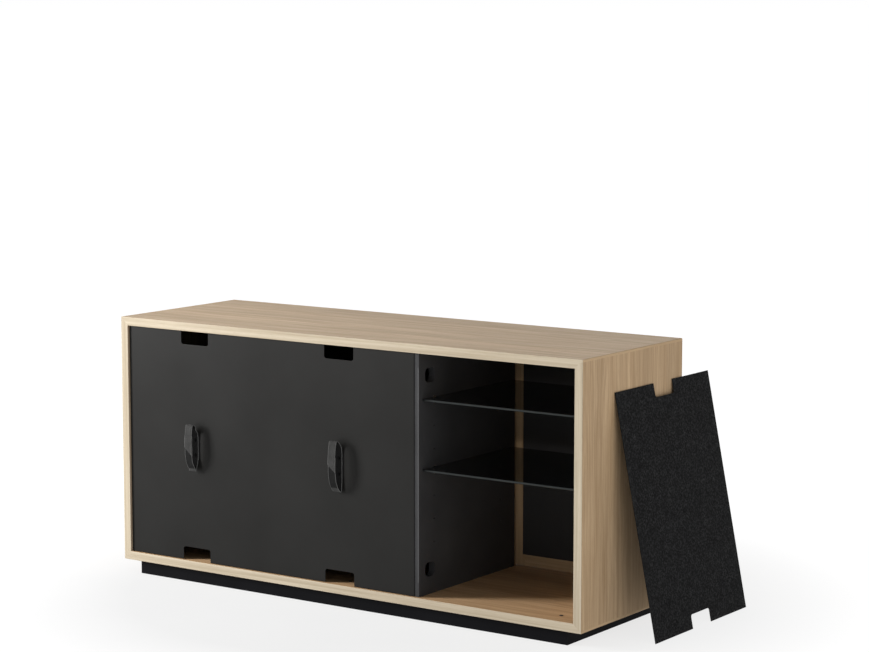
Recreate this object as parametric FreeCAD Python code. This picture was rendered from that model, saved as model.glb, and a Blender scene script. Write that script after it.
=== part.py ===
"""Media cabinet, standing free: a mitred oak case on a recessed black plinth.

Frame: origin on the floor at the middle of the plinth, +Z up, doors towards -Y, cable side
towards +Y, so the cabinet's own left is -X. All sizes are millimetres.

The case has three equal bays. The back is closed by thin steel panels that magnets hold. The wide
one covers the centre and right bays. The small one, of the left bay, has been taken off and leans
on the outside of the case.
"""
import FreeCAD
import Part

import math
import os

from FreeCAD import Matrix, Vector

# ---- driving dimensions ------------------------------------------------------------------------
CASE_WIDTH = 1575.0
CASE_DEPTH = 516.0
CASE_HEIGHT = 718.0
BOARD = 25.0                    # thickness of the four mitred case boards
SHOULDER = 7.0                  # of the top and bottom boards, outside the mitres
ARRIS = 1.5                     # rounding of the boards' outer edges
DIVIDER = 20.0                  # thickness of a divider
PLINTH_HEIGHT = 40.0
PLINTH_BOARD = 18.0
PLINTH_SIDE_INSET = 51.0
PLINTH_BACK_INSET = 16.0
PLINTH_FRONT_INSET = 50.0

PANEL_T = 2.0                   # steel back panel
PANEL_ARRIS = 0.5               # rounding of a back panel's edges
PANEL_RECESS = 7.0              # from the case's back edge to a back panel's outer face
PANEL_GAP = 1.0                 # round the back panels
PANEL_LAP_WIDE = 5.0            # how far the wide panel laps onto the left divider
PANEL_LAP_SMALL = 5.5
NOTCH_WIDTH = 100.0
NOTCH_HEIGHT = 38.0
NOTCH_RADIUS = 7.5
LEAN_FOOT = 131.0               # from the case's side to the foot of the leaning panel
LEAN_GAP = 0.3                  # between the leaning panel's top edge and the side
LEAN_START = 101.0              # y of the leaning panel's rear edge

PIN_PITCH = 64.0
PIN_ROWS = 7
PIN_D = 5.0
PIN_HOLE_DEPTH = 10.0
PIN_BACK = 80.0                 # from the case's back edge to the rear row of pin holes
PIN_FRONT_Y = -150.0
SUPPORT_RISE = 10.0             # from a pin's centre to the glass
SUPPORT_WIDTH = 9.0
SUPPORT_T = 1.6
SUPPORT_REACH = 10.0            # how far a support's tongue reaches under the glass
SUPPORT_DROP = 5.0              # of a support's plate, below the pin's centre
SUPPORT_LUG = 3.0               # how far the plate stands above the glass
PAD_T = 1.5
GLASS = 6.0
GLASS_SIDE_GAP = 2.0
GLASS_BACK = 24.0               # from the case's back edge to the glass
GLASS_FRONT_Y = -200.0

CABLE_HOLE_WIDTH = 46.0
CABLE_HOLE_HEIGHT = 40.0
CABLE_HOLE_RADIUS = 14.0
CABLE_HOLE_BACK = 61.0          # from the case's back edge to a hole's centre
CABLE_HOLE_TOP_Z = 668.0
CABLE_HOLE_LOW_Z = 134.0

DOOR_T = 22.0
DOOR_SIDE_GAP = 2.5
DOOR_EDGE_GAP = 2.0             # above and below a door
DOOR_MEETING_GAP = 3.0
STILE = 36.0
RAIL = 40.0
TENON = 10.0
TENON_T = 8.0
SLATS = 12
SLAT_WIDTH = 22.0
SLAT_SETBACK = 2.0
SLAT_CHAMFER = 2.0
SLAT_TENON = 4.0
SCREEN_T = 3.0
SCREEN_LAP = 8.0
REBATE = 4.0
PIVOT_IN = 22.0                 # from the door's hinge edge to the pivot
PIVOT_BACK = 8.0                # from the door's face to the pivot
PIVOT_R = 4.0
PIVOT_CLEARANCE = 0.06
PIVOT_IN_DOOR = 24.0
PIVOT_IN_CASE = 9.0
BUSH_R = 6.0
BUSH_DEPTH = 11.0
BUSH_FLANGE_R = 8.5
BUSH_FLANGE_T = 1.7
DIVIDER_FRONT_SETBACK = 36.0    # room for a door's hinge edge to swing in front of a divider

CATCH_SIZE = (44.0, 14.0, 20.0)
CATCH_FROM_FREE_EDGE = 60.0
STRIKE_SIZE = (34.0, 1.5, 12.0)
CATCH_GAP = 0.3

REAR_RAIL_T = 5.0
REAR_RAIL_DEPTH = 14.0
MAGNET_WIDTH = 3.0
MAGNET_DEPTH = 3.0
MAGNET_END = 40.0               # bare length above and below a magnet strip

SPLINE_LONG = 14.0
SPLINE_T = 4.0
SPLINE_END = 20.0
DOWEL_R = 4.0
DOWEL_IN_BOARD = 12.0
DOWEL_IN_DIVIDER = 18.0
DOWEL_Y = (-140.0, 0.0, 140.0)

FOOT_X = 692.0
FOOT_BACK = 56.0                # from the case's back edge to the rear feet
FOOT_FRONT_Y = -168.0
FOOT_PAD_R = 15.0
FOOT_PAD_T = 5.0
FOOT_STEM_R = 4.0
FOOT_STEM_TOP = 36.0
FOOT_CLEARANCE = 0.06
SOCKET_R = 6.0
SOCKET_BOTTOM = 14.0
SOCKET_TOP = 38.0
KEY_SOCKET_R = 2.5
KEY_SOCKET_DEPTH = 6.0
ACCESS_R = 4.0
ACCESS_RIM_R = 5.2
ACCESS_RIM_T = 0.8
BLOCK_X = 64.0
BLOCK_Y = 44.0
BLOCK_BOTTOM = 12.0
BLOCK_SCREW_OFFSET = 22.0
SCREW_R = 2.0
SCREW_HEAD_R = 4.0
SCREW_HEAD_T = 3.0
SCREW_IN_BOARD = 15.0

STRAP_WIDTH = 25.0
STRAP_T = 2.2
STRAP_BOW = 36.0                # how far the loop stands off the panel
STRAP_TOP_FOLD = 27.0           # stand-off of the fold at the top
STRAP_HALF_HEIGHT = 70.0
STRAP_FLAT = 33.0               # half the height of the run that lies on the plate
PLATE_WIDTH = 28.0
PLATE_HEIGHT = 70.0
PLATE_T = 1.5
RIVET_R = 2.4
RIVET_HEAD_R = 4.5
RIVET_HEAD_T = 1.2
RIVET_Z = 22.0

# ---- places worked out from them ---------------------------------------------------------------
HALF_WIDTH = CASE_WIDTH / 2
HALF_DEPTH = CASE_DEPTH / 2
CASE_BOTTOM = PLINTH_HEIGHT
CASE_TOP = PLINTH_HEIGHT + CASE_HEIGHT
FLOOR_Z = CASE_BOTTOM + BOARD             # upper face of the bottom board
CEILING_Z = CASE_TOP - BOARD              # lower face of the top board
MIDDLE_Z = (FLOOR_Z + CEILING_Z) / 2
INNER_HALF = HALF_WIDTH - BOARD
BAY_WIDTH = (2 * INNER_HALF - 2 * DIVIDER) / 3
DIVIDER_X = BAY_WIDTH / 2 + DIVIDER / 2
BAY_X = {"left": -(BAY_WIDTH + DIVIDER), "centre": 0.0, "right": BAY_WIDTH + DIVIDER}
PANEL_OUT_Y = HALF_DEPTH - PANEL_RECESS   # outer face of a back panel in place
PANEL_IN_Y = PANEL_OUT_Y - PANEL_T        # where dividers and rails end
PANEL_HEIGHT = CEILING_Z - FLOOR_Z - 2 * PANEL_GAP
DIVIDER_FRONT_Y = -HALF_DEPTH + DIVIDER_FRONT_SETBACK
PIN_Y = (HALF_DEPTH - PIN_BACK, PIN_FRONT_Y)
CABLE_HOLE_Y = HALF_DEPTH - CABLE_HOLE_BACK
DOOR_FACE_Y = -HALF_DEPTH
DOOR_BACK_Y = DOOR_FACE_Y + DOOR_T
DOOR_LOW = FLOOR_Z + DOOR_EDGE_GAP
DOOR_HIGH = CEILING_Z - DOOR_EDGE_GAP
PIVOT_Y = DOOR_FACE_Y + PIVOT_BACK
PLINTH_HALF = HALF_WIDTH - PLINTH_SIDE_INSET
PLINTH_BACK_Y = HALF_DEPTH - PLINTH_BACK_INSET
PLINTH_FRONT_Y = -HALF_DEPTH + PLINTH_FRONT_INSET
FOOT_ROWS = {"front": FOOT_FRONT_Y, "back": HALF_DEPTH - FOOT_BACK}
FOOT_COLUMNS = {"left": -FOOT_X, "centre": 0.0, "right": FOOT_X}

# name: x of the hinge edge, x of the free edge
DOORS = {
    "left": (-INNER_HALF + DOOR_SIDE_GAP, -DIVIDER_X - DOOR_MEETING_GAP / 2),
    "centre": (-DIVIDER_X + DOOR_MEETING_GAP / 2, DIVIDER_X - DOOR_MEETING_GAP / 2),
    "right": (INNER_HALF - DOOR_SIDE_GAP, DIVIDER_X + DOOR_MEETING_GAP / 2),
}
# name: bay, row of pin holes counted from the middle one
SHELVES = {
    "left_upper": ("left", 3),
    "left_lower": ("left", 0),
    "centre": ("centre", 1),
    "right": ("right", 1),
}


# ---- helpers -----------------------------------------------------------------------------------
def box(x0, x1, y0, y1, z0, z1):
    """A block between two corners, in whatever order each pair is given."""
    low = Vector(min(x0, x1), min(y0, y1), min(z0, z1))
    return Part.makeBox(abs(x1 - x0), abs(y1 - y0), abs(z1 - z0), low)


def rod(radius, length, start, direction):
    return Part.makeCylinder(radius, length, Vector(*start), Vector(*direction))


def prism_y(outline, y0, y1):
    """An outline of (x, z) points, pushed along Y."""
    points = [Vector(x, y0, z) for x, z in outline]
    face = Part.Face(Part.makePolygon(points + points[:1]))
    return face.extrude(Vector(0, y1 - y0, 0))


def prism_z(outline, z0, z1):
    """An outline of (x, y) points, pushed along Z."""
    points = [Vector(x, y, z0) for x, y in outline]
    face = Part.Face(Part.makePolygon(points + points[:1]))
    return face.extrude(Vector(0, 0, z1 - z0))


def is_arris(edge):
    """True for a front or rear edge of a case board that stays bare when the case is joined."""
    span = edge.BoundBox
    if span.YLength > 0.01:
        return False
    is_long = max(span.XLength, span.ZLength) > CASE_HEIGHT / 2
    return is_long or abs(edge.CenterOfMass.x) > HALF_WIDTH - ARRIS


def case_board(outline):
    """One of the four mitred boards, with its front and rear arrises rounded."""
    board = prism_y(outline, -HALF_DEPTH, HALF_DEPTH)
    return board.makeFillet(ARRIS, [edge for edge in board.Edges if is_arris(edge)])


def cut_all(shape, tools):
    return shape.cut(tools) if tools else shape


def save(name, solids):
    """Writes one node: a list of separate solids, or a single one."""
    shapes = solids if isinstance(solids, list) else [solids]
    flat = [solid for shape in shapes for solid in shape.Solids]
    shape = flat[0] if len(flat) == 1 else Part.makeCompound(flat)
    if not shape.isValid():
        print("not valid:", name)
    shape.exportStep(os.path.join("parts", name + ".step"))


# ---- places of what repeats --------------------------------------------------------------------
def pin_rows():
    """Heights of the pin holes; the middle row is at half height."""
    half = (PIN_ROWS - 1) // 2
    return [MIDDLE_Z + row * PIN_PITCH for row in range(-half, half + 1)]


def bay_walls(bay):
    return BAY_X[bay] - BAY_WIDTH / 2, BAY_X[bay] + BAY_WIDTH / 2


def shelf_pin_places():
    """(x of the wall, direction into the bay, y, z) of every support in use."""
    places = []
    for bay, row in SHELVES.values():
        low_x, high_x = bay_walls(bay)
        for wall_x, inward in ((low_x, 1), (high_x, -1)):
            for y in PIN_Y:
                places.append((wall_x, inward, y, MIDDLE_Z + row * PIN_PITCH))
    return places


def feet_places():
    """(name, x, y) of each levelling foot."""
    return [
        (row + "_" + column, x, y)
        for row, y in FOOT_ROWS.items()
        for column, x in FOOT_COLUMNS.items()
    ]


def pivot_x(door):
    hinge_x, free_x = DOORS[door]
    return hinge_x + math.copysign(PIVOT_IN, free_x - hinge_x)


def block_screw_x(x):
    """A block's screw stands towards the middle of the cabinet from its foot."""
    return x - math.copysign(BLOCK_SCREW_OFFSET, x)


# ---- case --------------------------------------------------------------------------------------
def spline_strips():
    """Loose tongues across the four mitres."""
    strips = []
    middle = (SHOULDER + BOARD) / 2
    corners = (
        (HALF_WIDTH - middle, CASE_TOP - middle, 1),
        (-HALF_WIDTH + middle, CASE_TOP - middle, -1),
        (HALF_WIDTH - middle, CASE_BOTTOM + middle, -1),
        (-HALF_WIDTH + middle, CASE_BOTTOM + middle, 1),
    )
    for x, z, slope in corners:
        strip = Part.makeBox(
            SPLINE_LONG,
            CASE_DEPTH - 2 * SPLINE_END,
            SPLINE_T,
            Vector(-SPLINE_LONG / 2, -HALF_DEPTH + SPLINE_END, -SPLINE_T / 2),
        )
        strip.rotate(Vector(0, 0, 0), Vector(0, 1, 0), 45 * slope)
        strip.translate(Vector(x, 0, z))
        strips.append(strip)
    return strips


def divider_dowels():
    length = DOWEL_IN_BOARD + DOWEL_IN_DIVIDER
    starts = (FLOOR_Z - DOWEL_IN_BOARD, CEILING_Z - DOWEL_IN_DIVIDER)
    return [
        rod(DOWEL_R, length, (x, y, z), (0, 0, 1))
        for x in (-DIVIDER_X, DIVIDER_X)
        for y in DOWEL_Y
        for z in starts
    ]


def bush_bores():
    """The bores in the top and bottom boards that the pivot bushes fill."""
    bores = []
    for door in DOORS:
        x = pivot_x(door)
        bores.append(rod(BUSH_R, BUSH_DEPTH, (x, PIVOT_Y, CEILING_Z), (0, 0, 1)))
        bores.append(rod(BUSH_R, BUSH_DEPTH, (x, PIVOT_Y, FLOOR_Z), (0, 0, -1)))
    return bores


def level_outline(outer_z, inner_z):
    """Section of the top or bottom board: a cut corner, a shoulder over the side and the mitre."""
    inward = math.copysign(1, inner_z - outer_z)
    half_section = [
        (HALF_WIDTH - ARRIS, outer_z),
        (HALF_WIDTH, outer_z + inward * ARRIS),
        (HALF_WIDTH, outer_z + inward * SHOULDER),
        (HALF_WIDTH - SHOULDER, outer_z + inward * SHOULDER),
        (INNER_HALF, inner_z),
    ]
    return half_section + [(-x, z) for x, z in reversed(half_section)]


def upright_outline(side):
    half_section = [
        (side * HALF_WIDTH, SHOULDER - CASE_HEIGHT / 2),
        (side * (HALF_WIDTH - SHOULDER), SHOULDER - CASE_HEIGHT / 2),
        (side * INNER_HALF, BOARD - CASE_HEIGHT / 2),
    ]
    section = half_section + [(x, -z) for x, z in reversed(half_section)]
    return [(x, z + MIDDLE_Z) for x, z in section]


def top_panel():
    board = case_board(level_outline(CASE_TOP, CEILING_Z))
    return cut_all(board, spline_strips() + divider_dowels() + bush_bores())


def bottom_panel():
    board = case_board(level_outline(CASE_BOTTOM, FLOOR_Z))
    access = [rod(ACCESS_R, BOARD, (x, y, CASE_BOTTOM), (0, 0, 1)) for _, x, y in feet_places()]
    tools = spline_strips() + divider_dowels() + bush_bores() + access + plinth_screws()
    return cut_all(board, tools)


def side_panel(side):
    """side is -1 for the left one and 1 for the right one."""
    board = case_board(upright_outline(side))
    holes = [
        rod(PIN_D / 2, PIN_HOLE_DEPTH, (side * INNER_HALF, y, z), (side, 0, 0))
        for y in PIN_Y
        for z in pin_rows()
    ]
    return cut_all(board, spline_strips() + holes)


def cable_hole(x, z):
    hole = box(
        x - DIVIDER,
        x + DIVIDER,
        CABLE_HOLE_Y - CABLE_HOLE_WIDTH / 2,
        CABLE_HOLE_Y + CABLE_HOLE_WIDTH / 2,
        z - CABLE_HOLE_HEIGHT / 2,
        z + CABLE_HOLE_HEIGHT / 2,
    )
    along_x = [edge for edge in hole.Edges if edge.BoundBox.XLength > DIVIDER]
    return hole.makeFillet(CABLE_HOLE_RADIUS, along_x)


def divider(side):
    x = side * DIVIDER_X
    board = box(
        x - DIVIDER / 2, x + DIVIDER / 2, DIVIDER_FRONT_Y, PANEL_IN_Y, FLOOR_Z, CEILING_Z
    )
    holes = [
        rod(PIN_D / 2, DIVIDER, (x - DIVIDER / 2, y, z), (1, 0, 0))
        for y in PIN_Y
        for z in pin_rows()
    ]
    holes += [cable_hole(x, CABLE_HOLE_TOP_Z), cable_hole(x, CABLE_HOLE_LOW_Z)]
    return cut_all(board, holes + divider_dowels() + magnet_strips())


def rear_rail(side):
    """A slim rail on the inside of a side, which the edge of a back panel closes on."""
    rail = box(
        side * INNER_HALF, side * (INNER_HALF - REAR_RAIL_T), PANEL_IN_Y - REAR_RAIL_DEPTH, PANEL_IN_Y,
        FLOOR_Z, CEILING_Z,
    )
    return cut_all(rail, magnet_strips())


def magnet_strips():
    """Strips let into the rear edges, under the edges of the back panels."""
    lap = PANEL_LAP_WIDE / 2
    columns = (
        -INNER_HALF + REAR_RAIL_T / 2,
        -DIVIDER_X - DIVIDER / 2 + lap,
        -DIVIDER_X + DIVIDER / 2 - lap,
        DIVIDER_X,
        INNER_HALF - REAR_RAIL_T / 2,
    )
    return [
        box(
            x - MAGNET_WIDTH / 2, x + MAGNET_WIDTH / 2, PANEL_IN_Y - MAGNET_DEPTH, PANEL_IN_Y,
            FLOOR_Z + MAGNET_END, CEILING_Z - MAGNET_END,
        )
        for x in columns
    ]


# ---- plinth and levelling feet -----------------------------------------------------------------
def plinth_long_rail(y0, y1):
    return box(-PLINTH_HALF, PLINTH_HALF, y0, y1, 0, PLINTH_HEIGHT)


def plinth_side_rail(side):
    return box(
        side * PLINTH_HALF,
        side * (PLINTH_HALF - PLINTH_BOARD),
        PLINTH_FRONT_Y + PLINTH_BOARD,
        PLINTH_BACK_Y - PLINTH_BOARD,
        0,
        PLINTH_HEIGHT,
    )


def plinth_cross_rails():
    """Rails under the dividers, and a shorter one between the two middle blocks."""
    front = PLINTH_FRONT_Y + PLINTH_BOARD
    back = PLINTH_BACK_Y - PLINTH_BOARD
    half = PLINTH_BOARD / 2
    spans = ((-DIVIDER_X, 0), (0, BLOCK_Y), (DIVIDER_X, 0))
    return [
        box(x - half, x + half, front + short, back - short, 0, PLINTH_HEIGHT)
        for x, short in spans
    ]


def block_span(x, y):
    """The (x0, x1, y0, y1) of the block round a foot; its outer faces meet the rails."""
    outer_y = math.copysign(1, y)
    rail_y = PLINTH_BACK_Y - PLINTH_BOARD if y > 0 else PLINTH_FRONT_Y + PLINTH_BOARD
    if x == 0:
        return -BLOCK_X / 2, BLOCK_X / 2, rail_y, rail_y - outer_y * BLOCK_Y
    rail_x = math.copysign(PLINTH_HALF - PLINTH_BOARD, x)
    return rail_x, rail_x - math.copysign(BLOCK_X, x), rail_y, rail_y - outer_y * BLOCK_Y


def plinth_blocks():
    blocks = []
    for _, x, y in feet_places():
        x0, x1, y0, y1 = block_span(x, y)
        block = box(x0, x1, y0, y1, BLOCK_BOTTOM, PLINTH_HEIGHT)
        bore = rod(SOCKET_R, PLINTH_HEIGHT, (x, y, 0), (0, 0, 1))
        blocks.append(block.cut([bore] + plinth_screws()))
    return blocks


def plinth_screws():
    """Pan-head screws up through the blocks into the bottom board."""
    length = PLINTH_HEIGHT - BLOCK_BOTTOM + SCREW_IN_BOARD
    screws = []
    for _, x, y in feet_places():
        at = block_screw_x(x)
        shank = rod(SCREW_R, length, (at, y, BLOCK_BOTTOM), (0, 0, 1))
        head = rod(SCREW_HEAD_R, SCREW_HEAD_T, (at, y, BLOCK_BOTTOM), (0, 0, -1))
        screws.append(shank.fuse(head))
    return screws


def foot_sockets():
    """Threaded inserts, drawn with plain bores."""
    length = SOCKET_TOP - SOCKET_BOTTOM
    sockets = []
    for _, x, y in feet_places():
        outer = rod(SOCKET_R, length, (x, y, SOCKET_BOTTOM), (0, 0, 1))
        bore = rod(FOOT_STEM_R + FOOT_CLEARANCE, length, (x, y, SOCKET_BOTTOM), (0, 0, 1))
        sockets.append(outer.cut(bore))
    return sockets


def foot(x, y):
    """A round pad on a stem with a key socket in its top end."""
    pad = rod(FOOT_PAD_R, FOOT_PAD_T, (x, y, 0), (0, 0, 1))
    rims = [edge for edge in pad.Edges if edge.Closed]
    pad = pad.makeChamfer(0.8, rims)
    stem = rod(FOOT_STEM_R, FOOT_STEM_TOP - 1, (x, y, 1), (0, 0, 1))
    key_start = (x, y, FOOT_STEM_TOP - KEY_SOCKET_DEPTH)
    key = rod(KEY_SOCKET_R, KEY_SOCKET_DEPTH, key_start, (0, 0, 1))
    return pad.fuse(stem).cut(key).removeSplitter()


def access_plugs():
    """Caps over the holes through which a key reaches the feet."""
    plugs = []
    for _, x, y in feet_places():
        body = rod(ACCESS_R, BOARD / 2, (x, y, FLOOR_Z), (0, 0, -1))
        rim = rod(ACCESS_RIM_R, ACCESS_RIM_T, (x, y, FLOOR_Z), (0, 0, 1))
        plugs.append(body.fuse(rim))
    return plugs


# ---- shelves -----------------------------------------------------------------------------------
def shelf_pins():
    """Nickelled pins, each with a tongue under the glass and a plate that stops it sideways."""
    pins = []
    half = SUPPORT_WIDTH / 2
    for x, inward, y, z in shelf_pin_places():
        shank = rod(PIN_D / 2, PIN_HOLE_DEPTH - 1, (x, y, z), (-inward, 0, 0))
        plate_top = z + SUPPORT_RISE + GLASS + SUPPORT_LUG
        plate = box(x, x + inward * SUPPORT_T, y - half, y + half, z - SUPPORT_DROP, plate_top)
        rim = [edge for edge in plate.Edges if edge.BoundBox.XLength > SUPPORT_T / 2]
        plate = plate.makeFillet(half / 2, rim)
        high = z + SUPPORT_RISE - PAD_T
        tongue = box(x, x + inward * SUPPORT_REACH, y - half, y + half, high - SUPPORT_T, high)
        pins.append(shank.fuse([plate, tongue]).removeSplitter())
    return pins


def shelf_pads():
    pads = []
    half = SUPPORT_WIDTH / 2
    for x, inward, y, z in shelf_pin_places():
        top = z + SUPPORT_RISE
        start, end = x + inward * 2 * SUPPORT_T, x + inward * SUPPORT_REACH
        pads.append(box(start, end, y - half, y + half, top - PAD_T, top))
    return pads


def glass_shelf(bay, row):
    low_x, high_x = bay_walls(bay)
    underside = MIDDLE_Z + row * PIN_PITCH + SUPPORT_RISE
    glass = box(
        low_x + GLASS_SIDE_GAP, high_x - GLASS_SIDE_GAP,
        GLASS_FRONT_Y, HALF_DEPTH - GLASS_BACK, underside, underside + GLASS,
    )
    return glass.makeChamfer(0.6, glass.Edges)


# ---- doors -------------------------------------------------------------------------------------
def door_opening(door):
    """(low x, high x) between the stiles."""
    edges = sorted(DOORS[door])
    return edges[0] + STILE, edges[1] - STILE


def door_slats(door):
    low_x, high_x = door_opening(door)
    gap = (high_x - low_x - SLATS * SLAT_WIDTH) / (SLATS + 1)
    front = DOOR_FACE_Y + SLAT_SETBACK
    back = DOOR_BACK_Y - REBATE
    bottom = DOOR_LOW + RAIL - SLAT_TENON
    top = DOOR_HIGH - RAIL + SLAT_TENON
    slats = []
    for index in range(SLATS):
        x = low_x + gap + index * (SLAT_WIDTH + gap)
        outline = [
            (x, back),
            (x, front + SLAT_CHAMFER),
            (x + SLAT_CHAMFER, front),
            (x + SLAT_WIDTH - SLAT_CHAMFER, front),
            (x + SLAT_WIDTH, front + SLAT_CHAMFER),
            (x + SLAT_WIDTH, back),
        ]
        slats.append(prism_z(outline, bottom, top))
    return slats


def door_screen(door):
    """The thin cloth-covered board behind the slats, in a rebate."""
    low_x, high_x = door_opening(door)
    return box(
        low_x - SCREEN_LAP, high_x + SCREEN_LAP,
        DOOR_BACK_Y - REBATE, DOOR_BACK_Y - REBATE + SCREEN_T,
        DOOR_LOW + RAIL - SCREEN_LAP, DOOR_HIGH - RAIL + SCREEN_LAP,
    )


def door_rebate(door):
    low_x, high_x = door_opening(door)
    return box(
        low_x - SCREEN_LAP, high_x + SCREEN_LAP,
        DOOR_BACK_Y - REBATE, DOOR_BACK_Y,
        DOOR_LOW + RAIL - SCREEN_LAP, DOOR_HIGH - RAIL + SCREEN_LAP,
    )


def door_pins(door):
    """Steel pivot pins, fixed in the ends of the hinge stile."""
    x = pivot_x(door)
    length = PIVOT_IN_DOOR + DOOR_EDGE_GAP + PIVOT_IN_CASE
    top = rod(PIVOT_R, length, (x, PIVOT_Y, DOOR_HIGH - PIVOT_IN_DOOR), (0, 0, 1))
    bottom = rod(PIVOT_R, length, (x, PIVOT_Y, DOOR_LOW + PIVOT_IN_DOOR), (0, 0, -1))
    return [top, bottom]


def door_frame(door):
    """Two stiles and two rails with tenons."""
    outer_low, outer_high = sorted(DOORS[door])
    low_x, high_x = door_opening(door)
    tenon_y = DOOR_FACE_Y + (DOOR_T - REBATE - TENON_T) / 2
    rails = []
    for z0, z1 in ((DOOR_LOW, DOOR_LOW + RAIL), (DOOR_HIGH - RAIL, DOOR_HIGH)):
        rail = box(low_x, high_x, DOOR_FACE_Y, DOOR_BACK_Y, z0, z1)
        tenon = box(
            low_x - TENON, high_x + TENON, tenon_y, tenon_y + TENON_T,
            z0 + TENON, z1 - TENON,
        )
        rails.append(rail.fuse(tenon).cut(door_slats(door) + [door_rebate(door)]))
    stiles = []
    for x0, x1 in ((outer_low, low_x), (high_x, outer_high)):
        stile = box(x0, x1, DOOR_FACE_Y, DOOR_BACK_Y, DOOR_LOW, DOOR_HIGH)
        outer_x = outer_low if x0 == outer_low else outer_high
        arrises = [
            edge
            for edge in stile.Edges
            if edge.BoundBox.ZLength > STILE and abs(edge.CenterOfMass.x - outer_x) < 0.01
        ]
        stile = stile.makeFillet(ARRIS, arrises)
        stiles.append(stile.cut(rails + [door_rebate(door)] + door_pins(door)))
    return stiles + rails


def catch_x(door):
    hinge_x, free_x = DOORS[door]
    return free_x - math.copysign(CATCH_FROM_FREE_EDGE, free_x - hinge_x)


def door_strike(door):
    """The steel plate on the back of a door's top rail that the catch's magnet holds."""
    width, thickness, height = STRIKE_SIZE
    x = catch_x(door)
    top = DOOR_HIGH - RAIL + SCREEN_LAP + 3 + height + 12
    return box(
        x - width / 2, x + width / 2, DOOR_BACK_Y, DOOR_BACK_Y + thickness, top - height, top
    )


def door_catches():
    """Magnetic catches under the top board."""
    width, depth, height = CATCH_SIZE
    front = DOOR_BACK_Y + STRIKE_SIZE[1] + CATCH_GAP
    catches = []
    for door in DOORS:
        x = catch_x(door)
        body = box(
            x - width / 2, x + width / 2, front, front + depth, CEILING_Z - height, CEILING_Z
        )
        upright = [edge for edge in body.Edges if edge.BoundBox.ZLength > height / 2]
        catches.append(body.makeFillet(2.0, upright))
    return catches


def pivot_bushes():
    bushes = []
    for door in DOORS:
        x = pivot_x(door)
        for z, up in ((CEILING_Z, 1), (FLOOR_Z, -1)):
            sleeve = rod(BUSH_R, BUSH_DEPTH, (x, PIVOT_Y, z), (0, 0, up))
            flange = rod(BUSH_FLANGE_R, BUSH_FLANGE_T, (x, PIVOT_Y, z), (0, 0, -up))
            bore = rod(
                PIVOT_R + PIVOT_CLEARANCE, BUSH_DEPTH - 1 + BUSH_FLANGE_T,
                (x, PIVOT_Y, z - up * BUSH_FLANGE_T), (0, 0, up),
            )
            bushes.append(sleeve.fuse(flange).cut(bore).removeSplitter())
    return bushes


# ---- back panels, each drawn flat: x along its width, y out of its outer face, z up -------------
def notch(x, z0, z1):
    """A cable notch with two round inner corners; z0 is its closed end."""
    low, high = min(z0, z1), max(z0, z1)
    cutter = box(x - NOTCH_WIDTH / 2, x + NOTCH_WIDTH / 2, -2 * PANEL_T, PANEL_T, low, high)
    inner = [
        edge
        for edge in cutter.Edges
        if edge.BoundBox.YLength > PANEL_T and abs(edge.CenterOfMass.z - z0) < 0.1
    ]
    return cutter.makeFillet(NOTCH_RADIUS, inner)


def flat_panel(width, notch_places):
    sheet = box(0, width, -PANEL_T, 0, 0, PANEL_HEIGHT)
    over = 5.0
    cutters = []
    for x in notch_places:
        cutters.append(notch(x, NOTCH_HEIGHT, -over))
        cutters.append(notch(x, PANEL_HEIGHT - NOTCH_HEIGHT, PANEL_HEIGHT + over))
    sheet = cut_all(sheet, cutters)
    rims = [edge for edge in sheet.Edges if edge.BoundBox.YLength < PANEL_T / 2]
    rivets = [rivet for x in notch_places for rivet in strap_rivets(x)]
    return cut_all(sheet.makeFillet(PANEL_ARRIS, rims), rivets)


def strap_line():
    """Middle line of a closed cable strap, as (y, z) from the middle of its flat run."""
    flat = PLATE_T + STRAP_T / 2
    h = STRAP_HALF_HEIGHT
    return [
        (flat, -STRAP_FLAT),
        (flat, -0.5 * STRAP_FLAT),
        (flat, 0.0),
        (flat, 0.5 * STRAP_FLAT),
        (flat, STRAP_FLAT),
        (flat + 3, 0.75 * h),
        (0.5 * STRAP_TOP_FOLD, 0.95 * h),
        (STRAP_TOP_FOLD, h),
        (0.89 * STRAP_BOW, 0.75 * h),
        (0.97 * STRAP_BOW, 0.4 * h),
        (STRAP_BOW, 0.0),
        (0.94 * STRAP_BOW, -0.35 * h),
        (0.74 * STRAP_BOW, -0.68 * h),
        (0.42 * STRAP_BOW, -0.9 * h),
        (0.2 * STRAP_BOW, -h),
        (flat + 1.2, -0.86 * h),
    ]


def strap(x):
    """A hook-and-loop strap closed into a D-shaped loop on the panel's outer face."""
    middle = PANEL_HEIGHT / 2
    line = Part.BSplineCurve()
    line.interpolate([Vector(0, y, z + middle) for y, z in strap_line()], PeriodicFlag=True)
    samples = 60
    span = line.LastParameter - line.FirstParameter
    sides = {1: [], -1: []}
    for index in range(samples):
        at = line.FirstParameter + span * index / samples
        tangent = line.tangent(at)[0]
        normal = Vector(0, tangent.z, -tangent.y)
        for side in sides:
            sides[side].append(line.value(at) + normal * (side * STRAP_T / 2))
    bodies = []
    for points in sides.values():
        curve = Part.BSplineCurve()
        curve.interpolate(points, PeriodicFlag=True)
        face = Part.Face(Part.Wire(curve.toShape()))
        body = face.extrude(Vector(STRAP_WIDTH, 0, 0))
        body.translate(Vector(x - STRAP_WIDTH / 2, 0, 0))
        bodies.append(body)
    outer, inner = sorted(bodies, key=lambda body: -body.Volume)
    behind_plate = box(
        x - STRAP_WIDTH, x + STRAP_WIDTH, -STRAP_BOW, PLATE_T,
        middle - 2 * STRAP_HALF_HEIGHT, middle + 2 * STRAP_HALF_HEIGHT,
    )
    return outer.cut([inner, behind_plate] + strap_rivets(x))


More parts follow.
